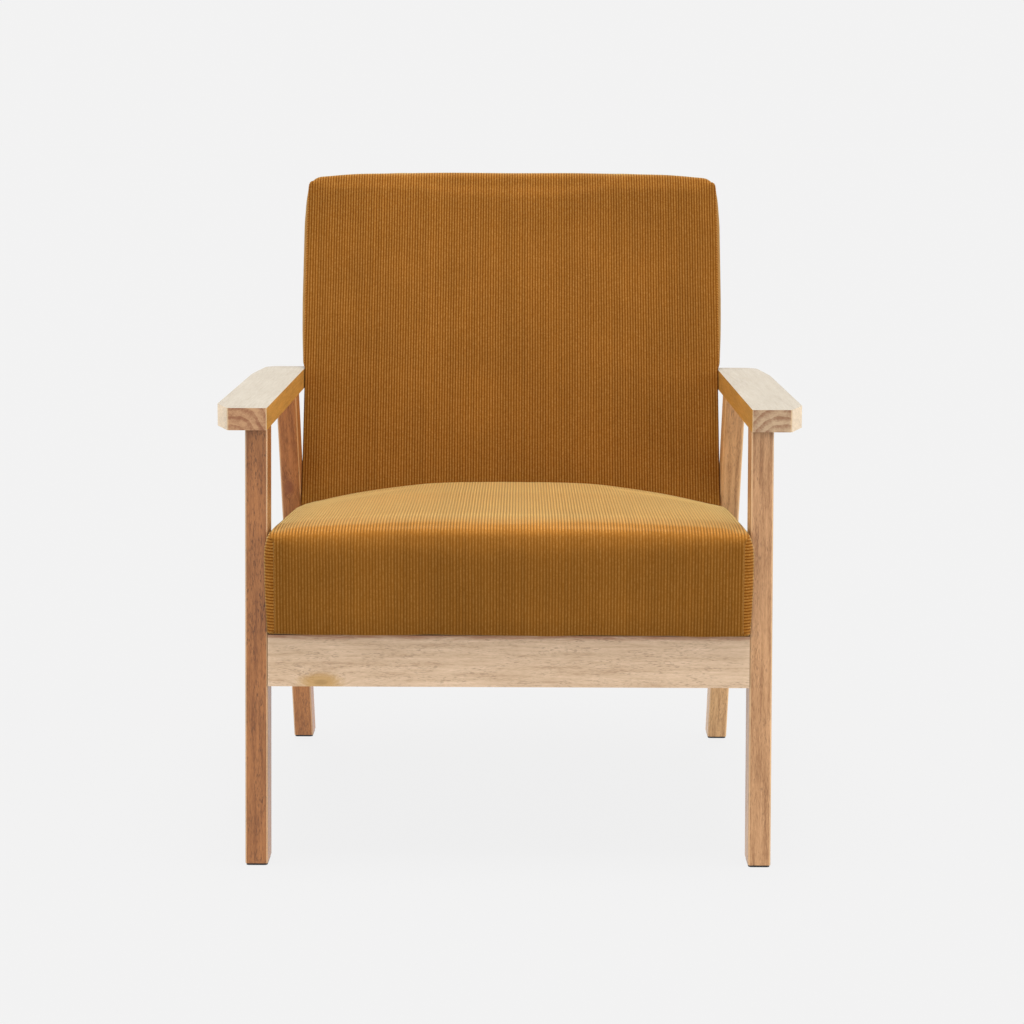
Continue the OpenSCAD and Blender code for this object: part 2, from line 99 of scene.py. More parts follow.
class Nodes:
    """Short names for building one material's node tree."""

    def __init__(self, name):
        self.material = bpy.data.materials.new(name)
        self.material.use_nodes = True
        self.tree = self.material.node_tree
        self.tree.nodes.clear()
        self.out = self.add("ShaderNodeOutputMaterial")

    def add(self, kind, **settings):
        node = self.tree.nodes.new(kind)
        for key, value in settings.items():
            setattr(node, key, value)
        return node

    def link(self, value, socket):
        """Sets a socket to a number, colour or vector, or links another node's output to it."""
        if isinstance(value, (int, float)):
            socket.default_value = value
        elif isinstance(value, (tuple, list, Vector)):
            value = tuple(value)
            size = len(socket.default_value)
            socket.default_value = value + (1.0,) * (size - len(value))
        else:
            self.tree.links.new(value, socket)

    def math(self, op, a, b=0.0, clamp=False):
        node = self.add("ShaderNodeMath", operation=op, use_clamp=clamp)
        self.link(a, node.inputs[0])
        self.link(b, node.inputs[1])
        return node.outputs[0]

    def vector(self, op, a, b=None):
        node = self.add("ShaderNodeVectorMath", operation=op)
        self.link(a, node.inputs[0])
        if b is not None:
            self.link(b, node.inputs[1])
        return node.outputs["Value" if op in ("LENGTH", "DOT_PRODUCT") else "Vector"]

    def noise(self, at, scales, detail, rough):
        """Noise stretched by one scale per axis: the larger the scale, the finer it is there."""
        node = self.add("ShaderNodeTexNoise")
        self.link(self.vector("MULTIPLY", at, scales), node.inputs["Vector"])
        self.link(1.0, node.inputs["Scale"])
        self.link(detail, node.inputs["Detail"])
        self.link(rough, node.inputs["Roughness"])
        return node.outputs["Fac"]

    def total(self, *terms):
        """Sum of any number of values."""
        result = terms[0]
        for term in terms[1:]:
            result = self.math("ADD", result, term)
        return result

    def product(self, *factors):
        """Product of any number of values."""
        result = factors[0]
        for factor in factors[1:]:
            result = self.math("MULTIPLY", result, factor)
        return result

    def steps(self, fac, low, high):
        """0 below low, 1 above high, smooth between."""
        node = self.add("ShaderNodeMapRange", interpolation_type="SMOOTHSTEP")
        self.link(fac, node.inputs["Value"])
        self.link(low, node.inputs["From Min"])
        self.link(high, node.inputs["From Max"])
        return node.outputs["Result"]

    def range(self, fac, a, b, c, d):
        """Takes a..b to c..d."""
        node = self.add("ShaderNodeMapRange")
        self.link(fac, node.inputs["Value"])
        for value, name in ((a, "From Min"), (b, "From Max"), (c, "To Min"), (d, "To Max")):
            self.link(value, node.inputs[name])
        return node.outputs["Result"]

    def mix(self, fac, a, b, blend="MIX"):
        node = self.add("ShaderNodeMix", data_type="RGBA", blend_type=blend)
        self.link(fac, node.inputs[0])
        self.link(a, node.inputs[6])
        self.link(b, node.inputs[7])
        return node.outputs[2]

    def xyz(self, at):
        node = self.add("ShaderNodeSeparateXYZ")
        self.link(at, node.inputs[0])
        return node.outputs

    def combine(self, x, y, z):
        node = self.add("ShaderNodeCombineXYZ")
        for value, socket in zip((x, y, z), node.inputs):
            self.link(value, socket)
        return node.outputs[0]

    def bump(self, height, strength, distance):
        node = self.add("ShaderNodeBump")
        self.link(strength, node.inputs["Strength"])
        self.link(distance, node.inputs["Distance"])
        self.link(height, node.inputs["Height"])
        return node.outputs[0]

    def shader(self, **inputs):
        node = self.add("ShaderNodeBsdfPrincipled")
        for name, value in inputs.items():
            self.link(value, node.inputs[name.replace("_", " ")])
        self.tree.links.new(node.outputs[0], self.out.inputs["Surface"])
        return self.material


def srgb(r, g, b):
    """0-255 sRGB to linear."""
    def one(c):
        c = c / 255
        return c / 12.92 if c <= 0.04045 else ((c + 0.055) / 1.055) ** 2.4
    return (one(r), one(g), one(b))


def times(factor, values):
    """A colour or vector, each of its values times the factor."""
    return tuple(factor * value for value in values)


def cubed(scale):
    """The same scale on all three axes."""
    return (scale, scale, scale)


# ---------------------------------------------------------------------------
# Wood
# ---------------------------------------------------------------------------

UP = Vector((0, 0, 1))
SIDE = Vector((1, 0, 0))
DEPTH = Vector((0, 1, 0))

PAINTED_EDGE_HIGHLIGHT = srgb(230, 194, 146)  # painted highlight along the wood's rounded edges
RING_WIDTH = 9 * MM
SEED_SHIFT = (0.731, 0.377, 0.553)   # how far one step of the seed moves the grain
KNOT_LENGTHENING = 0.55
# the noises of the grain: scale along it, scale across it, detail, roughness; bend moves the
# rings, dash and gate place the pores, and the others shade the tone by their shares
GRAIN = {
    "bend": (2.5, 11.0, 3.0, 0.55),
    "streak": (24.0, 420.0, 6.0, 0.72),
    "fibre": (150.0, 1500.0, 3.0, 0.6),
    "blotch": (9.0, 30.0, 4.0, 0.55),
    "figure": (11.0, 170.0, 4.0, 0.6),
    "dash": (170.0, 1000.0, 2.0, 0.5),
    "gate": (30.0, 120.0, 2.0, 0.5),
}
TONE_SHARES = (("streak", 1.8), ("fibre", 1.5), ("blotch", 1.3), ("figure", 1.5))
LATE_SHARE = 0.16             # how much the rings' late wood darkens the tone
MEAN_TONE = 0.42              # from 0, the wood's lighter colour, to 1, its darker one


def wood_tones(colour):
    """The lighter, middle and darker colour of one kind of wood."""
    r, g, b = colour
    return (1.22 * r, 1.26 * g, 1.34 * b), colour, (0.66 * r, 0.58 * g, 0.50 * b)


def wood(name, colour, grain, seed, knots=(), ends=None, sides=(), stain=None, pith=None,
         pores=1.0, roughness=0.48, contrast=1.0, coat=0.38):
    """Lacquered wood with faint growth rings, streaks, fibres, short dark pores and end grain.

    grain is the direction along the board, and pith is where the tree's middle lies across it,
    once the grain is turned onto X; knots are (place, radius, colour) in metres; ends are the
    end grain's light and dark; sides are (normal, colour) of faces with a colour of their own,
    which on an armrest's inner side is painted bounce light from the cushion and on its outer
    side paler edge grain; stain is (height, reach, colour) of a streaky darker band under a
    piece's upper edge; pores and contrast are how strongly the pores and the figure show, coat is
    the lacquer."""
    light, mid, dark = wood_tones(colour)
    n = Nodes(name)
    coords = n.add("ShaderNodeTexCoord")
    place, normal = coords.outputs["Object"], coords.outputs["Normal"]
    grain = grain.normalized()
    axis, angle = grain.rotation_difference(SIDE).to_axis_angle()

    def turned(vector):
        """A vector turned so that the grain lies along X."""
        node = n.add("ShaderNodeVectorRotate", rotation_type="AXIS_ANGLE")
        n.link(vector, node.inputs["Vector"])
        n.link(axis, node.inputs["Axis"])
        n.link(angle, node.inputs["Angle"])
        return node.outputs[0]

    shift = times(seed, SEED_SHIFT)
    p = n.vector("ADD", turned(place), shift)

    # the grain flows round each knot
    halos = []
    stretch = tuple(1.0 - KNOT_LENGTHENING * abs(c) for c in grain)
    for middle, radius, knot_colour in knots:
        away = n.vector("MULTIPLY", n.vector("SUBTRACT", place, middle), stretch)
        d = n.math("DIVIDE", n.vector("LENGTH", away), radius)
        halo = n.math("POWER", math.e, n.product(d, d, -1.0))
        halos.append((halo, knot_colour))
        around_knot = n.combine(0.0, n.product(halo, 0.8 * radius), n.product(halo, 1.1 * radius))
        p = n.vector("ADD", p, around_knot)

    noises = {}
    for key, (lengthwise, crosswise, detail, rough) in GRAIN.items():
        noises[key] = n.noise(p, (lengthwise, crosswise, crosswise), detail, rough)

    def around(key, size):
        """A noise's swing to both sides of its middle."""
        return n.product(n.math("SUBTRACT", noises[key], 0.5), size * contrast)

    pith_y, pith_z = pith or (0.02 * math.sin(seed * 5.1), 0.47 + 0.03 * math.cos(seed * 3.7))
    _, y, z = n.xyz(p)
    dy = n.math("SUBTRACT", y, shift[1] + pith_y)
    dz = n.math("SUBTRACT", z, shift[2] + pith_z)
    from_pith = n.math("SQRT", n.total(n.product(dy, dy), n.product(dz, dz)))
    ring = n.total(n.math("DIVIDE", from_pith, RING_WIDTH), n.product(noises["bend"], 4.0))
    ring = n.math("FRACT", ring)
    late = n.product(n.steps(ring, 0.25, 0.85), n.steps(ring, 1.0, 0.92))
    pore = n.product(n.steps(noises["dash"], 0.52, 0.66), n.steps(noises["gate"], 0.34, 0.62))

    tone = n.total(*(around(key, share) for key, share in TONE_SHARES))
    tone = n.total(tone, n.product(late, LATE_SHARE * contrast))
    tone = n.math("ADD", tone, MEAN_TONE, clamp=True)
    colour = n.mix(n.steps(tone, 0.0, 0.55), light, mid)
    colour = n.mix(n.steps(tone, 0.45, 1.05), colour, dark)
    colour = n.mix(n.product(pore, 0.55 * pores), colour, times(0.55, dark))
    # the armrests' inner sides get painted bounce light from the cushion, their outer sides their own
    # edge-grain colour
    for face, side in sides:
        facing = n.steps(n.vector("DOT_PRODUCT", normal, face), 0.75, 0.95)
        edge_grain_and_bounce = n.mix(n.steps(tone, 0.1, 0.9), times(1.1, side), times(0.66, side))
        colour = n.mix(facing, colour, edge_grain_and_bounce)
    if stain:
        level, reach, stain_colour = stain
        near = n.steps(n.xyz(place)[2], level - reach, level)
        streaky = n.steps(n.total(near, around("streak", 3.0)), 0.35, 1.15)
        colour = n.mix(n.product(streaky, 0.8), colour, stain_colour)
    for halo, knot_colour in halos:
        swirl = n.steps(n.total(halo, around("streak", 0.9)), 0.18, 0.80)
        colour = n.mix(n.product(swirl, 0.75), colour, knot_colour)
        core = n.steps(n.total(halo, around("blotch", 0.5)), 0.90, 1.04)
        colour = n.mix(n.product(core, 0.4), colour, times(0.55, knot_colour))

    # end grain takes the lacquer darker, and shows the rings across
    end_light, end_dark = ends or (times(0.80, mid), times(0.70, dark))
    facing_end = n.steps(n.math("ABSOLUTE", n.xyz(turned(normal))[0]), 0.72, 0.93)
    end_cells = n.noise(place, cubed(520.0), 4.0, 0.7)
    end_patch = n.noise(p, (8.0, 70.0, 110.0), 3.0, 0.6)
    end_tone = n.total(n.product(late, 0.34), n.product(end_cells, 0.9), n.product(end_patch, 1.1))
    colour = n.mix(facing_end, colour, n.mix(n.steps(end_tone, 0.75, 1.55), end_light, end_dark))

    # rounded edges are painted lighter, a painted highlight along them
    width = DEPTH if abs(grain.x) > 0.5 else SIDE
    flattest = 0.0
    for face in (grain, width, grain.cross(width)):
        square_on = n.math("ABSOLUTE", n.vector("DOT_PRODUCT", normal, face))
        flattest = n.math("MAXIMUM", flattest, square_on)
    colour = n.mix(n.product(n.steps(flattest, 0.97, 0.84), 0.45), colour, PAINTED_EDGE_HIGHLIGHT)

    uneven = n.range(noises["streak"], 0.3, 0.7, roughness - 0.08, roughness + 0.10)
    height = n.total(n.product(noises["fibre"], 0.5), n.product(pore, -1.0))
    return n.shader(
        Base_Color=colour, Roughness=uneven, Specular_IOR_Level=0.4,
        Coat_Weight=coat, Coat_Roughness=0.22, Normal=n.bump(height, 0.35, 0.00022),
    )


# ---------------------------------------------------------------------------
# Corduroy
# ---------------------------------------------------------------------------

WALE = 3.6 * MM
WANDER = 1.1 * MM             # breadth of the ribs' straying to both sides
MEAN_RIB = 0.73               # mean height of a rib, 0 in its groove and 1 on its crest


def corduroy(name, across, tone=1.0, sheen=0.66, relief=0.6, groove_lift=0.0, painted_rib_shading=0.0):
    """Wide-wale corduroy: rounded pile ribs, grooves darkened partly by painted shade, and small breaks
    in the pile.

    across is the direction the ribs are counted in, so they run at right angles to it; tone
    scales the colours, and relief is how deep the light sees the ribs; worn is how far the grooves'
    colour, and their painted shade with it, moves towards the body's, and brushed how much painted
    shade darkens the grooves, and painted light the crests, of upward faces."""
    n = Nodes(name)
    coords = n.add("ShaderNodeTexCoord")
    p = coords.outputs["Object"]
    wander = n.math("SUBTRACT", n.noise(p, cubed(14.0), 2.0, 0.5), 0.5)
    phase = n.total(n.vector("DOT_PRODUCT", p, across), n.product(wander, WANDER))
    phase = n.math("DIVIDE", phase, WALE)
    rib = n.math("ABSOLUTE", n.math("SINE", n.product(phase, math.pi)))
    rib = n.math("POWER", rib, 0.62)
    rib_id = n.math("FLOOR", phase)

    pile = n.noise(p, cubed(900.0), 2.0, 0.65)
    own_place = n.vector("ADD", n.vector("MULTIPLY", p, cubed(420.0)),
                         n.combine(rib_id, n.product(rib_id, 3.7), 0.0))
    tuft = n.noise(own_place, cubed(1.0), 2.0, 0.55)
    rub = n.noise(p, cubed(7.0), 4.0, 0.55)
    each = n.add("ShaderNodeTexWhiteNoise", noise_dimensions="1D")
    n.link(rib_id, each.inputs["W"])

    # the groove colour is darker partly as the cloth's own and partly as painted shade; the crest
    # colour is lighter partly as the pile tips' own and partly as painted sheen
    body = times(tone, srgb(128, 80, 24))
    crest = times(tone, srgb(161, 118, 62))
    groove = times(tone, srgb(93, 45, 5))
    groove = tuple(groove_lift * b + (1 - groove_lift) * g for b, g in zip(body, groove))
    up = n.total(rib, n.product(n.math("SUBTRACT", tuft, 0.5), 0.70),
                 n.product(n.math("SUBTRACT", pile, 0.5), 0.35))
    colour = n.mix(n.steps(up, 0.20, 0.85), groove, body)
    colour = n.mix(n.product(n.steps(up, 0.75, 1.30), 0.8), colour, crest)
    shade = n.total(n.range(rub, 0.3, 0.7, 0.90, 1.08),
                    n.range(each.outputs["Value"], 0.0, 1.0, -0.05, 0.05))
    # upward faces get painted shade in their grooves and painted light on their crests
    upward = n.steps(n.xyz(coords.outputs["Normal"])[2], 0.75, 0.97)
    painted_up_rib_shading = n.product(upward, painted_rib_shading, n.math("SUBTRACT", rib, MEAN_RIB))
    shade = n.product(shade, n.total(painted_up_rib_shading, 1.0))
    colour = n.mix(1.0, colour, n.combine(shade, shade, shade), "MULTIPLY")

    height = n.total(rib, n.product(tuft, 0.22), n.product(pile, 0.10))
    return n.shader(
        Base_Color=colour, Roughness=0.85, Specular_IOR_Level=0.03,
        Sheen_Weight=sheen, Sheen_Roughness=0.32, Sheen_Tint=srgb(253, 236, 166),
        Normal=n.bump(height, relief, 0.0008),
    )


# ---------------------------------------------------------------------------
# Materials of the pieces that hardly show
# ---------------------------------------------------------------------------

def metal(name, colour, roughness):
    """Plated metal with patches and fine scratches."""
    n = Nodes(name)
    at = n.add("ShaderNodeTexCoord").outputs["Object"]
    fine = n.noise(at, (900.0, 900.0, 2500.0), 3.0, 0.6)
    patch = n.noise(at, cubed(120.0), 3.0, 0.5)
    rough = n.total(n.range(patch, 0.3, 0.7, roughness - 0.06, roughness + 0.08), n.product(fine, 0.12))
    tint = n.mix(n.steps(patch, 0.35, 0.75), colour, times(0.82, colour))
    return n.shader(Base_Color=tint, Metallic=1.0, Roughness=rough, Normal=n.bump(fine, 0.2, 0.0001))


def plastic(name, colour):
    """Fine-grained moulded plastic with paler rubbed patches."""
    n = Nodes(name)
    at = n.add("ShaderNodeTexCoord").outputs["Object"]
    grain = n.noise(at, cubed(1400.0), 2.0, 0.6)
    wear = n.noise(at, cubed(60.0), 3.0, 0.5)
    tint = n.mix(n.steps(wear, 0.55, 0.8), colour, tuple(min(1.0, 1.8 * c + 0.01) for c in colour))
    return n.shader(Base_Color=tint, Roughness=n.range(wear, 0.3, 0.7, 0.45, 0.65),
                    Normal=n.bump(grain, 0.25, 0.0001))


def woven(name, colour, pitch):
    """Plain weave, over and under, for webbing and lining."""
    n = Nodes(name)
    p = n.xyz(n.add("ShaderNodeTexCoord").outputs["Object"])
    warp = n.math("SINE", n.product(p[0], 2 * math.pi / pitch))
    weft = n.math("SINE", n.product(n.total(p[1], p[2]), 2 * math.pi / pitch))
    fac = n.range(n.product(warp, weft), -1.0, 1.0, 0.0, 1.0)
    # alternate crossings are darkened: painted shade where a thread passes under
    tint = n.mix(fac, times(0.55, colour), colour)
    return n.shader(Base_Color=tint, Roughness=0.85, Specular_IOR_Level=0.2,
                    Normal=n.bump(fac, 0.5, 0.0004))


def foam(name, colour, cell_size):
    """Open cells whose pits are darkened with painted shade."""
    n = Nodes(name)
    at = n.add("ShaderNodeTexCoord").outputs["Object"]
    cells = n.add("ShaderNodeTexVoronoi")
    n.link(at, cells.inputs["Vector"])
    n.link(1.0 / cell_size, cells.inputs["Scale"])
    pit = n.steps(cells.outputs["Distance"], 0.05, 0.6)
    # painted shade in the pits
    tint = n.mix(pit, colour, times(0.8, colour))
    return n.shader(Base_Color=tint, Roughness=0.95, Specular_IOR_Level=0.1,
                    Normal=n.bump(pit, 0.5, 0.0005))


# ---------------------------------------------------------------------------
# Materials on the carried-over nodes
# ---------------------------------------------------------------------------

FRONT_LEG_GRAIN = Vector((0, math.sin(FRONT_LEAN), math.cos(FRONT_LEAN)))
REAR_LEG_GRAIN = Vector((0, -math.sin(REAR_LEAN), math.cos(REAR_LEAN)))
BACK_GRAIN = Vector((0, math.sin(BACK_LEAN), math.cos(BACK_LEAN)))

RED_STREAK = srgb(160, 106, 74)
REDDISH = srgb(150, 95, 49)
TAN = srgb(180, 134, 91)
REAR_LEFT = srgb(172, 110, 56)
REAR_RIGHT = srgb(202, 156, 104)
CREAM = srgb(142, 131, 112)
PALE_EDGE = srgb(216, 192, 158)
RAIL = srgb(201, 172, 141)
PINE = srgb(212, 174, 122)
# painted bounce light from the cushion, for the armrests' inner sides
PAINTED_CUSHION_BOUNCE = srgb(192, 140, 63)
KNOT_BROWN = srgb(136, 76, 42)
KNOT_YELLOW = srgb(178, 136, 66)


def on_front(x, z, lean, foot_y):
    """A place on the front face of a leaning piece whose foot's front edge is at foot_y."""
    return (x, foot_y + math.tan(lean) * z, z)


LEG_FOOT_Y = LEG_LO.y
REAR_FOOT_Y = REAR_LEG_BACK - REAR_LEG_WIDTH / math.cos(REAR_LEAN)
RAW = {"coat": 0.0, "roughness": 0.72}
# by node: colour, grain, seed, and what else wood() takes
WOODS = {
    "left_front_leg": (REDDISH, FRONT_LEG_GRAIN, 1.3, {"contrast": 1.2, "pores": 1.7}),
    "right_front_leg": (TAN, FRONT_LEG_GRAIN, 2.1, {}),
    "left_rear_leg": (REAR_LEFT, REAR_LEG_GRAIN, 3.4, {
        "contrast": 1.2, "pores": 1.4,
        "knots": ((on_front(-0.2975, 0.382, -REAR_LEAN, REAR_FOOT_Y), 0.008, KNOT_BROWN),)}),
    "right_rear_leg": (REAR_RIGHT, REAR_LEG_GRAIN, 4.2, {}),
    # each armrest's inner side is painted with bounce light from the cushion
    "left_armrest": (CREAM, DEPTH, 5.7, {
        "ends": (srgb(190, 146, 104), srgb(140, 88, 54)), "sides": ((SIDE, PAINTED_CUSHION_BOUNCE), (-SIDE, PALE_EDGE)),
        "pith": (0.322, 0.492), "contrast": 0.45, "pores": 0.35}),
    "right_armrest": (CREAM, DEPTH, 6.4, {
        "ends": (srgb(190, 160, 126), srgb(140, 98, 66)), "sides": ((-SIDE, PAINTED_CUSHION_BOUNCE), (SIDE, PALE_EDGE)),
        "pith": (-0.318, 0.495), "contrast": 0.45, "pores": 0.35}),
    "left_side_rail": (TAN, DEPTH, 7.1, {}),
    "right_side_rail": (RAIL, DEPTH, 8.6, {}),
    "front_rail": (RAIL, SIDE, 9.2, {
        "contrast": 0.6, "pores": 0.9, "stain": (RAIL_TOP, 0.010, RED_STREAK),
        "knots": ((on_front(-0.220, 0.2155, FRONT_LEAN, LEG_FOOT_Y), 0.012, KNOT_YELLOW),)}),
    "rear_rail": (RAIL, SIDE, 10.9, {}),
    "corner_blocks": (PINE, UP, 11.3, RAW),
    "seat_frame_front": (PINE, SIDE, 12.5, RAW),
    "seat_frame_rear": (PINE, SIDE, 13.6, RAW),
    "seat_frame_left": (PINE, DEPTH, 14.8, RAW),
    "seat_frame_right": (PINE, DEPTH, 15.3, RAW),
    "back_frame_left": (PINE, BACK_GRAIN, 16.2, RAW),
    "back_frame_right": (PINE, BACK_GRAIN, 17.7, RAW),
    "back_frame_top": (PINE, SIDE, 18.4, RAW),
    "back_frame_bottom": (PINE, SIDE, 19.9, RAW),
    "back_rear_panel": (TAN, SIDE, 20.6, RAW),
    "rail_dowels": (TAN, SIDE, 21.2, RAW),
    "side_rail_dowels": (TAN, DEPTH, 22.2, RAW),
    "arm_dowels": (TAN, UP, 23.2, RAW),
}


def dress(node, material):
    """Gives a CAD node its material."""
    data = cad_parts[node].data
    data.materials.clear()
    data.materials.append(material)


def soften_edges(node, width):
    """Rounds a node's sharp edges, as planed and sanded wood has them."""
    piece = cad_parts[node]
    weld = piece.modifiers.new("weld", "WELD")
    weld.merge_threshold = 1e-5
    bevel = piece.modifiers.new("rounding", "BEVEL")
    bevel.width = width
    bevel.segments = 3
    bevel.limit_method = "ANGLE"
    bevel.angle_limit = math.radians(35)
    bevel.use_clamp_overlap = True


for node, (colour, grain, seed, extra) in WOODS.items():
    dress(node, wood("wood_" + node, colour, grain, seed, **extra))

STEEL = metal("zinc_plated_steel", (0.62, 0.63, 0.65), 0.34)
for node in ("rail_bolts", "barrel_nuts", "back_bolts", "back_washers", "seat_screws"):
    dress(node, STEEL)
dress("back_inserts", metal("insert_brass", (0.72, 0.52, 0.24), 0.3))
dress("foot_glides", plastic("glide_plastic", (0.012, 0.012, 0.013)))
WEBBING = woven("webbing_weave", (0.05, 0.05, 0.055), 1.6 * MM)
for node in ("seat_webbing_long", "seat_webbing_cross", "back_webbing"):
    dress(node, WEBBING)
dress("seat_dust_cover", woven("dust_cloth", (0.018, 0.018, 0.02), 0.9 * MM))
dress("seat_foam", foam("seat_foam_cells", (0.84, 0.76, 0.48), 1.4 * MM))
dress("back_foam", foam("back_foam_cells", (0.84, 0.76, 0.48), 1.4 * MM))
dress("seat_wadding", foam("wadding_fibres", (0.86, 0.86, 0.85), 3.0 * MM))


# ---------------------------------------------------------------------------
# Cushions
# ---------------------------------------------------------------------------

def smooth(t):
    """0 below 0, 1 above 1, smooth between."""
    t = np.clip(t, 0.0, 1.0)
    return t * t * (3 - 2 * t)


def denser_ends(t, amount):
    """Moves evenly spaced shares of a side closer together towards its two ends."""
    return t - amount * np.sin(2 * np.pi * t) / (2 * np.pi)


def denser_sides(t, amount):
    """Takes evenly spaced shares of the width to -1 to 1, closer together towards both sides."""
    return np.sin((2 * t - 1) * math.pi / 2 * amount) / math.sin(math.pi / 2 * amount)


def swelling(distance, reach):
    """Rises from 0 at a seam to 1 at the given reach from it, steep at the seam."""
    return 1 - (1 - np.clip(distance / reach, 0.0, 1.0)) ** 2.2


def quarter_round(near_a, near_b, radius):
    """How far a point near a square edge moves in on each axis to lie on a quarter round."""
    inside = (near_a < radius) & (near_b < radius)
    a, b = radius - near_a, radius - near_b
    shrink = np.maximum(np.abs(a), np.abs(b)) / np.maximum(np.hypot(a, b), 1e-9)
    return np.where(inside, a * (1 - shrink), 0.0), np.where(inside, b * (1 - shrink), 0.0)


def cushion_grid(nx, ny, nz):
    """Points and quads on the surface of a box of nx by ny by nz cells, each point three integers.

    A quad's side is 0 on the panel that wraps round and 1 on the two end panels."""
    index, points, faces, sides = {}, [], [], []

    def quad(corners, side):
        for corner in corners:
            if corner not in index:
                index[corner] = len(points)
                points.append(corner)
        faces.append([index[corner] for corner in corners])
        sides.append(side)

    for i in range(nx):
        for j in range(ny):
            quad(((i, j, 0), (i, j + 1, 0), (i + 1, j + 1, 0), (i + 1, j, 0)), 0)
            quad(((i, j, nz), (i + 1, j, nz), (i + 1, j + 1, nz), (i, j + 1, nz)), 0)
        for k in range(nz):
            quad(((i, 0, k), (i + 1, 0, k), (i + 1, 0, k + 1), (i, 0, k + 1)), 0)
            quad(((i, ny, k), (i, ny, k + 1), (i + 1, ny, k + 1), (i + 1, ny, k)), 0)
    for j in range(ny):
        for k in range(nz):
            quad(((0, j, k), (0, j, k + 1), (0, j + 1, k + 1), (0, j + 1, k)), 1)
            quad(((nx, j, k), (nx, j + 1, k), (nx, j + 1, k + 1), (nx, j, k + 1)), 1)
    return np.array(points), faces, sides


def make_mesh(name, points, faces, sides, materials):
    """A smooth-shaded piece whose quads take the material of their side."""
    mesh = bpy.data.meshes.new(name)
    mesh.from_pydata([tuple(p) for p in points], [], faces)
    for material in materials:
        mesh.materials.append(material)
    mesh.polygons.foreach_set("material_index", np.array(sides, dtype=np.int32))
    mesh.polygons.foreach_set("use_smooth", np.ones(len(faces), dtype=bool))
    mesh.update()
    piece = bpy.data.objects.new(name, mesh)
    scene.collection.objects.link(piece)
    return piece


def read_points(piece, what="co"):
    """A piece's vertex positions, or its vertex normals."""
    values = np.empty(len(piece.data.vertices) * 3, dtype=np.float32)
    piece.data.vertices.foreach_get(what, values)
    return values.reshape(-1, 3).astype(float)


def write_points(piece, points):
    piece.data.vertices.foreach_set("co", points.astype(np.float32).ravel())
    piece.data.update()


def apply_modifiers(piece):
    """Turns the piece's modifiers into plain mesh."""
    graph = bpy.context.evaluated_depsgraph_get()
    shaped = bpy.data.meshes.new_from_object(piece.evaluated_get(graph), depsgraph=graph)
    old = piece.data
    piece.modifiers.clear()
    piece.data = shaped
    bpy.data.meshes.remove(old)


CLOTH_FRAMES = 20
PRESSURE = 3.0                # inside both cushions while they are inflated
SEAM_EASE = 0.030             # within this reach of a seam the cloth moves less and less


def inflate(piece, sewn, seam, furthest):
    """Cloth simulation under inner pressure, with the sewn points held.

    No point moves further than furthest, and less near a seam."""
    group = piece.vertex_groups.new(name="sewn")
    group.add([int(i) for i in np.flatnonzero(sewn)], 1.0, "REPLACE")
    start = read_points(piece)
    cloth = piece.modifiers.new("cloth", "CLOTH")
    settings = cloth.settings
    settings.quality = 6
    settings.mass = 0.35
    settings.tension_stiffness = 18
    settings.compression_stiffness = 12
    settings.shear_stiffness = 6
    settings.bending_stiffness = 0.6
    settings.use_pressure = True
    settings.uniform_pressure_force = PRESSURE
    settings.vertex_group_mass = "sewn"
    settings.effector_weights.gravity = 0.0
    cloth.collision_settings.use_collision = False
    cloth.point_cache.frame_start = 1
    cloth.point_cache.frame_end = CLOTH_FRAMES
    for number in range(1, CLOTH_FRAMES + 1):
        scene.frame_set(number)
    apply_modifiers(piece)
    piece.vertex_groups.clear()
    scene.frame_set(1)

    step = read_points(piece) - start
    length = np.linalg.norm(step, axis=1, keepdims=True)
    tree = KDTree(int(seam.sum()))
    for number, point in enumerate(start[seam]):
        tree.insert(point, number)
    tree.balance()
    clear = smooth(np.array([[tree.find(point)[2]] for point in start]) / SEAM_EASE)
    write_points(piece, start + step * clear * np.minimum(1.0, furthest / np.maximum(length, 1e-9)))


SIDE_GAP = 0.0007             # between a cushion and the legs and armrests beside it
RAIL_GAP = 0.0004             # between the seat and the rails under it

SEAT_CELLS = (60, 44, 14)     # across, front to rear, and up
SEAT_DENSITY = (0.86, 0.62, 0.5)   # how much closer together the cells lie towards the edges
SEAT_SEAM_X = 0.2740          # half the width of the centre panel
SEAT_SIDE_SWELL = 0.0118      # how far the side panels stand out past their seams
SEAT_SWELL_REACH = (0.013, 0.010, 0.030)   # from their front, rear and upper seams to there
SEAT_OVERHANG = 0.0050        # furthest the sides may stand out before and behind the legs
BEFORE_LEG = (0.0035, 0.0005)   # where they start and end drawing in, before a front leg
BEHIND_LEG = (0.020, 0.001)   # where they end and start standing out again, behind it
# by depth from the front feet: the height of the upper seams, and the crown above them
SEAT_EDGE = ((0.0, 0.10, 0.20, 0.30, 0.46), (0.4005, 0.3900, 0.3824, 0.3755, 0.3605))
SEAT_CROWN = ((0.0, 0.10, 0.25, 0.46), (0.0065, 0.0110, 0.0185, 0.0300))
SEAT_RISE_LEFT, SEAT_RISE_RIGHT = 0.0025, 0.0065   # how the upper seams rise between front and rear
SEAT_RISE_DEPTH = 0.44        # depth over which they rise and come down again
SEAT_FALL, SEAT_FALL_REACH = 0.0085, 0.09   # how the top falls away towards the front edge
SEAT_ROUND_FRONT, SEAT_ROUND_REAR, SEAT_ROUND_BASE = 0.011, 0.010, 0.004
SEAT_BULGE = 0.0014           # of the front
SEAT_REAR = 0.0004            # the rear lies this far behind the CAD cover's
SEAT_REAR_SLANT = 0.05        # how much further forward the rear lies at its base
HEM, LINING_DEPTH = 0.026, 0.002   # the cloth folded under, and how much deeper the lining lies
FRONT_EDGE_WAVE = 0.0011      # mean lift of the lower front edge
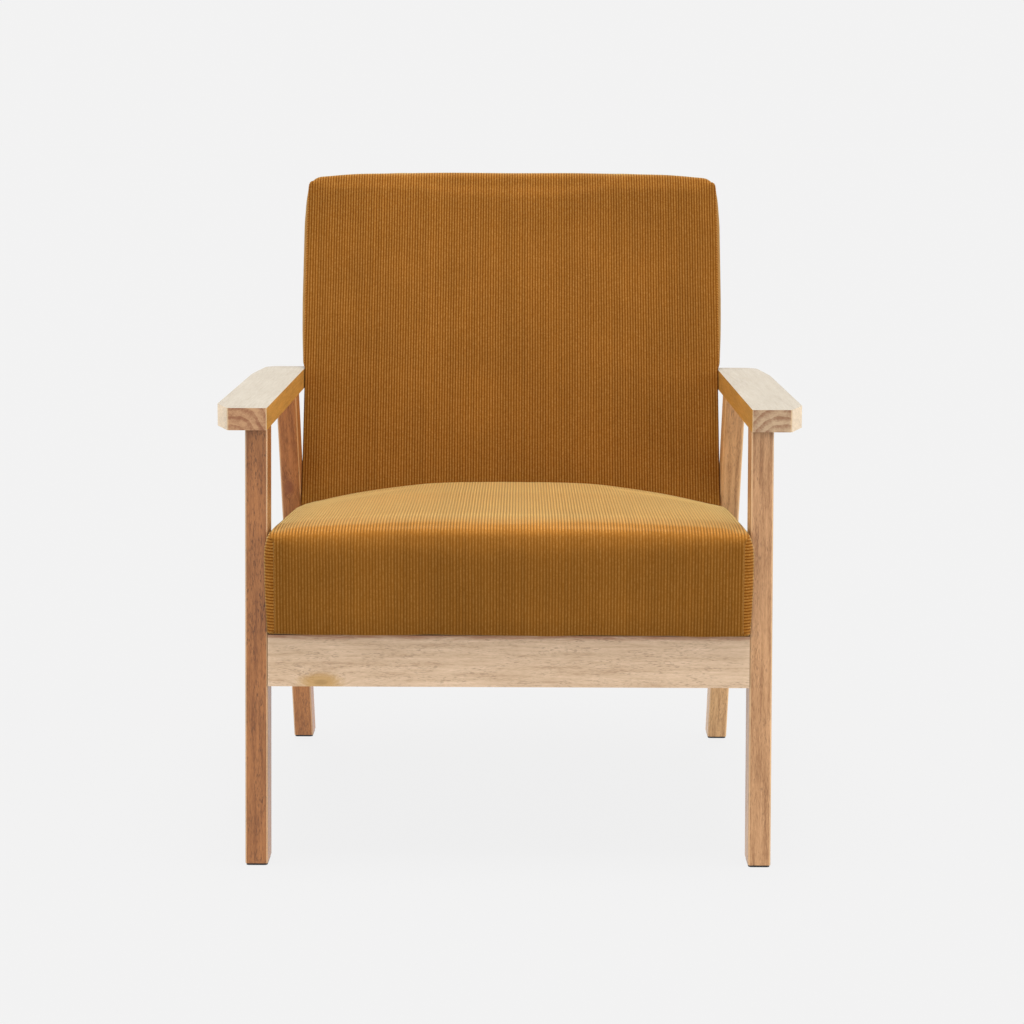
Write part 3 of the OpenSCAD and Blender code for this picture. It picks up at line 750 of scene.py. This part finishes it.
WAVES = ((31.0, 1.0), (67.0, 0.6), (113.0, 0.35))   # radians per metre, and size


def wave(x, seed):
    """Smooth uneven line, between -1 and 1, from a few fixed sines."""
    line = sum(size * np.sin(rate * x + seed * (i + 1) * 1.7) for i, (rate, size) in enumerate(WAVES))
    return line / sum(size for _, size in WAVES)


def seat_cushion():
    """Boxed seat: a centre panel that wraps front, top, rear and base, and two side panels."""
    size = nx, ny, nz = SEAT_CELLS
    grid, faces, sides = cushion_grid(*size)
    a, b, c = (grid / size).T
    end = (grid[:, 0] == 0) | (grid[:, 0] == nx)
    x = SEAT_SEAM_X * denser_sides(a, SEAT_DENSITY[0])
    b, c = denser_ends(b, SEAT_DENSITY[1]), denser_ends(c, SEAT_DENSITY[2])
    front, bottom = SEAT_LO.y, SEAT_LO.z

    # flat in the middle, steeper towards the seams
    crown = 1 - np.abs(x / SEAT_SEAM_X) ** 2.9
    depth = front - LEG_LO.y + (SEAT_HI.y - SEAT_REAR_SLANT - front) * b
    top = np.interp(depth, *SEAT_EDGE) + np.interp(depth, *SEAT_CROWN) * crown
    rise = np.where(x > 0, SEAT_RISE_RIGHT, SEAT_RISE_LEFT) * np.abs(x / SEAT_SEAM_X) ** 3
    top = top + rise * np.sin(math.pi * np.clip(depth / SEAT_RISE_DEPTH, 0.0, 1.0))
    z = bottom + (top - bottom) * c
    rear = SEAT_HI.y - (SEAT_HI.z - z) * math.tan(BACK_LEAN) + SEAT_REAR
    y = front + (rear - front) * b

    in_y, in_z = quarter_round(y - front, top - z, SEAT_ROUND_FRONT)
    y, z = y + in_y, z - in_z
    fall = SEAT_FALL * (1 - np.clip((y - front) / SEAT_FALL_REACH, 0.0, 1.0)) ** 2.2
    z = z - fall * smooth((z - bottom) / 0.06)
    in_y, in_z = quarter_round(rear - y, top - z, SEAT_ROUND_REAR)
    y, z = y - in_y, z - in_z
    in_y, in_z = quarter_round(y - front, z - bottom, SEAT_ROUND_BASE)
    y, z = y + in_y, z + in_z
    y = y - SEAT_BULGE * crown * (1 - np.abs(2 * c - 1) ** 4) * smooth(1 - b * 8)

    # the side panels, and the base with them, stand out past the seams
    from_front, from_rear, from_top = SEAT_SWELL_REACH
    out = swelling(y - front, from_front) * swelling(rear - y, from_rear) * swelling(top - z, from_top)
    out *= 1 - 0.22 * (1 - c) ** 3
    base = (grid[:, 2] == 0) & ~end
    from_side = SEAT_SEAM_X - np.abs(x)
    reach = np.where(end, 1.0, np.where(base, smooth(1 - from_side / 0.03), 0.0))
    x = x + np.sign(x) * SEAT_SIDE_SWELL * out * reach
    # the lining lies a little deeper than the hem round it
    window = base & (np.abs(x) < SEAT_SEAM_X - HEM) & (b > 0.055) & (b < 0.945)
    z = np.where(window, z + LINING_DEPTH, z)
    # the lower front edge isn't quite straight
    lifted = FRONT_EDGE_WAVE * (1 + wave(x, 2.3))
    lifted *= smooth(1 - (z - bottom) / 0.02) * smooth(1 - (y - front) / 0.03)
    z = np.where(grid[:, 1] < 4, z + lifted, z)
    return make_mesh("seat_cushion", np.stack([x, y, z], axis=1), faces, sides,
                     (SEAT_RIBS, SEAT_SIDE_RIBS)), grid, size


def seat_limits(points):
    """Keeps the seat between the front legs and off the rails."""
    past_front = points[:, 1] - LEG_LO.y - np.tan(FRONT_LEAN) * points[:, 2]
    past_rear = past_front - LEG_DEPTH
    beside = smooth((BEFORE_LEG[0] + past_front) / (BEFORE_LEG[0] - BEFORE_LEG[1]))
    beside *= smooth((BEHIND_LEG[0] - past_rear) / (BEHIND_LEG[0] - BEHIND_LEG[1]))
    free, held = INNER_X + SEAT_OVERHANG, INNER_X - SIDE_GAP
    limit = free + (held - free) * beside
    points[:, 0] = np.clip(points[:, 0], -limit, limit)
    points[:, 2] = np.maximum(points[:, 2], RAIL_TOP + RAIL_GAP)
    return points


class Back:
    """The leaning back's own axes and sizes, read from its CAD cover."""
    across = np.array((1.0, 0.0, 0.0))
    up = np.array((0.0, math.sin(BACK_LEAN), math.cos(BACK_LEAN)))
    through = np.array((0.0, math.cos(BACK_LEAN), -math.sin(BACK_LEAN)))
    cover = np.array([v.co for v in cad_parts["back_cover"].data.vertices])
    origin = through * (cover @ through).min() + up * (cover @ up).min()
    thickness = np.ptp(cover @ through)
    length = np.ptp(cover @ up)


BACK_CELLS = (60, 12, 52)     # across, front to rear, and up
BACK_DENSITY = (0.88, 0.35, 0.62)
BACK_SEAM_X = 0.2822          # half the width of the centre panel
BACK_FRONT = 0.0045           # the front's seams lie this far behind the CAD cover's front
BACK_REAR = 0.0002            # and the rear's this far before its rear
# rounding of the long edges, upper and lower
BACK_ROUND_FRONT = (0.016, 0.011)
BACK_ROUND_REAR = (0.010, 0.007)
BACK_CORNER = 0.017           # rounding of the upper corners, seen from in front
BACK_CROWN_FRONT, BACK_CROWN_REAR = 0.0115, 0.0025
# the centre panel's top line: distance from the middle, and drop below its highest point
BACK_TOP_DROP = ((0.0, 0.083, 0.172, 0.217, 0.239, 0.262, 0.282),
                 (0.0, 0.0, 0.0009, 0.0030, 0.0050, 0.0078, 0.0098))
BACK_TOP_RISE = 0.0088        # of the highest point above the CAD cover's top
# how far the side panels stand out past their seams, by height above the floor
BACK_SIDE_SWELL = ((0.536, 0.58, 0.63, 0.73, 0.78), (0.0036, 0.0058, 0.0068, 0.0068, 0.0040))
# from their front and rear, their upper and their lower seams to there
BACK_SWELL_REACH = (0.030, 0.035, 0.020)
ARM_GAP = 0.0008              # above the armrests, before the back stands out over them
# how much further the back may stand out there, and within what height above that gap
BACK_OVERHANG = ((0.0042, 0.007), (0.0035, 0.06))


def back_cushion():
    """Boxed back: a centre panel that wraps front, top, rear and bottom, and two side panels."""
    size = nx, ny, nz = BACK_CELLS
    grid, faces, sides = cushion_grid(*size)
    a, b, c = (grid / size).T
    end = (grid[:, 0] == 0) | (grid[:, 0] == nx)
    x = BACK_SEAM_X * denser_sides(a, BACK_DENSITY[0])
    b, c = denser_ends(b, BACK_DENSITY[1]), denser_ends(c, BACK_DENSITY[2])

    crown = (1 - np.abs(x / BACK_SEAM_X) ** 3.0) * np.sin(math.pi * c) ** 0.95
    front, rear = BACK_FRONT, Back.thickness - BACK_REAR
    top = Back.length + BACK_TOP_RISE - np.interp(np.abs(x), *BACK_TOP_DROP)
    depth = front + (rear - front) * b
    height = top * c
    in_x, in_h = quarter_round(BACK_SEAM_X - np.abs(x), top - height, BACK_CORNER)
    x, height = x - np.sign(x) * in_x, height - in_h
    edge_top = top - in_h
    for toward, radii in ((1, BACK_ROUND_FRONT), (-1, BACK_ROUND_REAR)):
        for radius, upper in zip(radii, (True, False)):
            near_depth = depth - front if toward == 1 else rear - depth
            in_d, in_h = quarter_round(near_depth, edge_top - height if upper else height, radius)
            depth, height = depth + toward * in_d, height - in_h if upper else height + in_h
    depth = depth - BACK_CROWN_FRONT * crown * (1 - b) ** 1.5 + BACK_CROWN_REAR * crown * b ** 1.5

    place = np.outer(x, Back.across) + np.outer(depth, Back.through) + np.outer(height, Back.up)
    place += Back.origin
    from_face, from_top, from_bottom = BACK_SWELL_REACH
    out = swelling(depth - front, from_face) * swelling(rear - depth, from_face)
    out *= smooth((edge_top - height) / from_top) * swelling(height, from_bottom)
    out *= np.interp(place[:, 2], *BACK_SIDE_SWELL)
    place[:, 0] += np.where(end, np.sign(x) * out, 0.0)
    return make_mesh("back_cushion", place, faces, sides, (BACK_RIBS, BACK_SIDE_RIBS)), grid, size


def back_limits(points):
    """Keeps the back between the armrests and the rear legs, free above them."""
    over_arm = points[:, 2] - ARM_TOP - ARM_GAP
    limit = INNER_X - SIDE_GAP + sum(size * smooth(over_arm / within) for size, within in BACK_OVERHANG)
    points[:, 0] = np.clip(points[:, 0], -limit, limit)
    return points


# the seat has more sheen than the back; each panel's tone is painted light and shade, paler on the side
# panels and darker on the back
SEAT_RIBS = corduroy("corduroy_seat", SIDE, tone=1.02, sheen=0.76, relief=0.85, groove_lift=0.75, painted_rib_shading=0.75)
BACK_RIBS = corduroy("corduroy_back", SIDE, tone=0.93)
SEAT_SIDE_RIBS = corduroy("corduroy_seat_sides", UP, tone=1.28)
BACK_SIDE_RIBS = corduroy("corduroy_back_sides", BACK_GRAIN, tone=1.2, sheen=0.3)

SEAM_CREASE = 0.7             # how sharply the refined mesh turns at a seam
SEAM_DEPTH = 0.0013           # how far a seam sinks
SEAM_LIP = 0.0011             # the cloth beside a seam stands up by up to a quarter of this
TOP_SEAM = 0.1                # share of that along the upper edge, where the cloth is drawn over


def sew(cushion, furthest, limits, replaced):
    """Inflates a cushion, refines it, presses its seams in and hands it over."""
    piece, grid, size = cushion
    at_edge = (grid == 0) | (grid == size)
    seam = at_edge[:, 0] & (at_edge[:, 1] | at_edge[:, 2])
    inflate(piece, seam | (grid[:, 2] == 0), seam, furthest)

    pairs = np.empty(len(piece.data.edges) * 2, dtype=np.int32)
    piece.data.edges.foreach_get("vertices", pairs)
    sewn_edge = seam[pairs[0::2]] & seam[pairs[1::2]]
    crease = piece.data.attributes.new("crease_edge", "FLOAT", "EDGE")
    crease.data.foreach_set("value", np.where(sewn_edge, SEAM_CREASE, 0.0).astype(np.float32))
    near = piece.data.attributes.new("near_seam", "FLOAT", "POINT")
    share = np.where(grid[:, 2] == size[2], TOP_SEAM, 1.0)
    near.data.foreach_set("value", (seam * share).astype(np.float32))
    refine = piece.modifiers.new("refine", "SUBSURF")
    refine.levels = refine.render_levels = 2
    apply_modifiers(piece)

    near = np.empty(len(piece.data.vertices), dtype=np.float32)
    piece.data.attributes["near_seam"].data.foreach_get("value", near)
    near = near[:, None].astype(float)
    pressed = SEAM_DEPTH * near ** 3 - SEAM_LIP * near * (1 - near)
    points = read_points(piece) - read_points(piece, "normal") * pressed
    write_points(piece, limits(points))
    for name in ("crease_edge", "near_seam"):
        piece.data.attributes.remove(piece.data.attributes[name])
    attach(piece, "root")
    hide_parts(*replaced)


sew(seat_cushion(), furthest=0.0018, limits=seat_limits,
    replaced=("seat_cover", "seat_foam", "seat_wadding"))
sew(back_cushion(), furthest=0.003, limits=back_limits, replaced=("back_cover", "back_foam"))

for node in ("left_armrest", "right_armrest"):
    soften_edges(node, 0.0025)
for node in ("front_rail", "rear_rail", "left_side_rail", "right_side_rail"):
    soften_edges(node, 0.0012)


# ---------------------------------------------------------------------------
# Floor and light
# ---------------------------------------------------------------------------

PAPER = srgb(242.4, 242.2, 242.3)
FLOOR_ALBEDO = 0.015          # hardly any, so that the shadow stays as faint as the photo's
FLOOR_REACH = 400.0           # far enough to fill the view behind the chair
OVERHEAD = 4.8                # strength of the soft light from above
LOW_LIGHTS = ((0.9, 100), (1.6, -100))   # strength and direction of the lights low at each side
LOW_TILT = 78                 # their tilt away from straight down
OVERHEAD_SPREAD, LOW_SPREAD = 34, 50     # how wide the lights look, so how soft their shadows are


def add_floor():
    """Pale floor that glows as much as it needs to match the studio's paper behind it."""
    corners = [(x * FLOOR_REACH, y * FLOOR_REACH, 0) for x, y in ((-1, -1), (1, -1), (1, 1), (-1, 1))]
    mesh = bpy.data.meshes.new("floor")
    mesh.from_pydata(corners, [], [(0, 1, 2, 3)])
    floor = bpy.data.objects.new("floor", mesh)
    scene.collection.objects.link(floor)
    n = Nodes("paper_floor")
    diffuse = n.add("ShaderNodeBsdfDiffuse")
    n.link((FLOOR_ALBEDO,) * 3, diffuse.inputs["Color"])
    low = sum(strength for strength, _ in LOW_LIGHTS) * math.cos(math.radians(LOW_TILT))
    suns = (OVERHEAD + low) / math.pi
    glow = n.add("ShaderNodeEmission")
    n.link(tuple(c - FLOOR_ALBEDO * (c + suns) for c in PAPER), glow.inputs["Color"])
    both = n.add("ShaderNodeAddShader")
    n.link(diffuse.outputs[0], both.inputs[0])
    n.link(glow.outputs[0], both.inputs[1])
    n.link(both.outputs[0], n.out.inputs["Surface"])
    mesh.materials.append(n.material)


def add_sun(name, strength, spread, turn, tilt):
    """Soft light, tilt degrees from straight above, towards the left at 90 and the right at -90."""
    data = bpy.data.lights.new(name, "SUN")
    data.energy = strength
    data.angle = math.radians(spread)
    sun = bpy.data.objects.new(name, data)
    scene.collection.objects.link(sun)
    sun.rotation_euler = (Matrix.Rotation(math.radians(turn), 3, "Z")
                          @ Matrix.Rotation(math.radians(-tilt), 3, "X")).to_euler()


def add_light():
    world = bpy.data.worlds.new("studio")
    scene.world = world
    world.use_nodes = True
    background = world.node_tree.nodes["Background"]
    background.inputs["Color"].default_value = (*PAPER, 1.0)
    background.inputs["Strength"].default_value = 1.0
    add_sun("overhead", OVERHEAD, OVERHEAD_SPREAD, 0, 0)
    for strength, turn in LOW_LIGHTS:
        add_sun("low_side", strength, LOW_SPREAD, turn, LOW_TILT)


add_floor()
add_light()
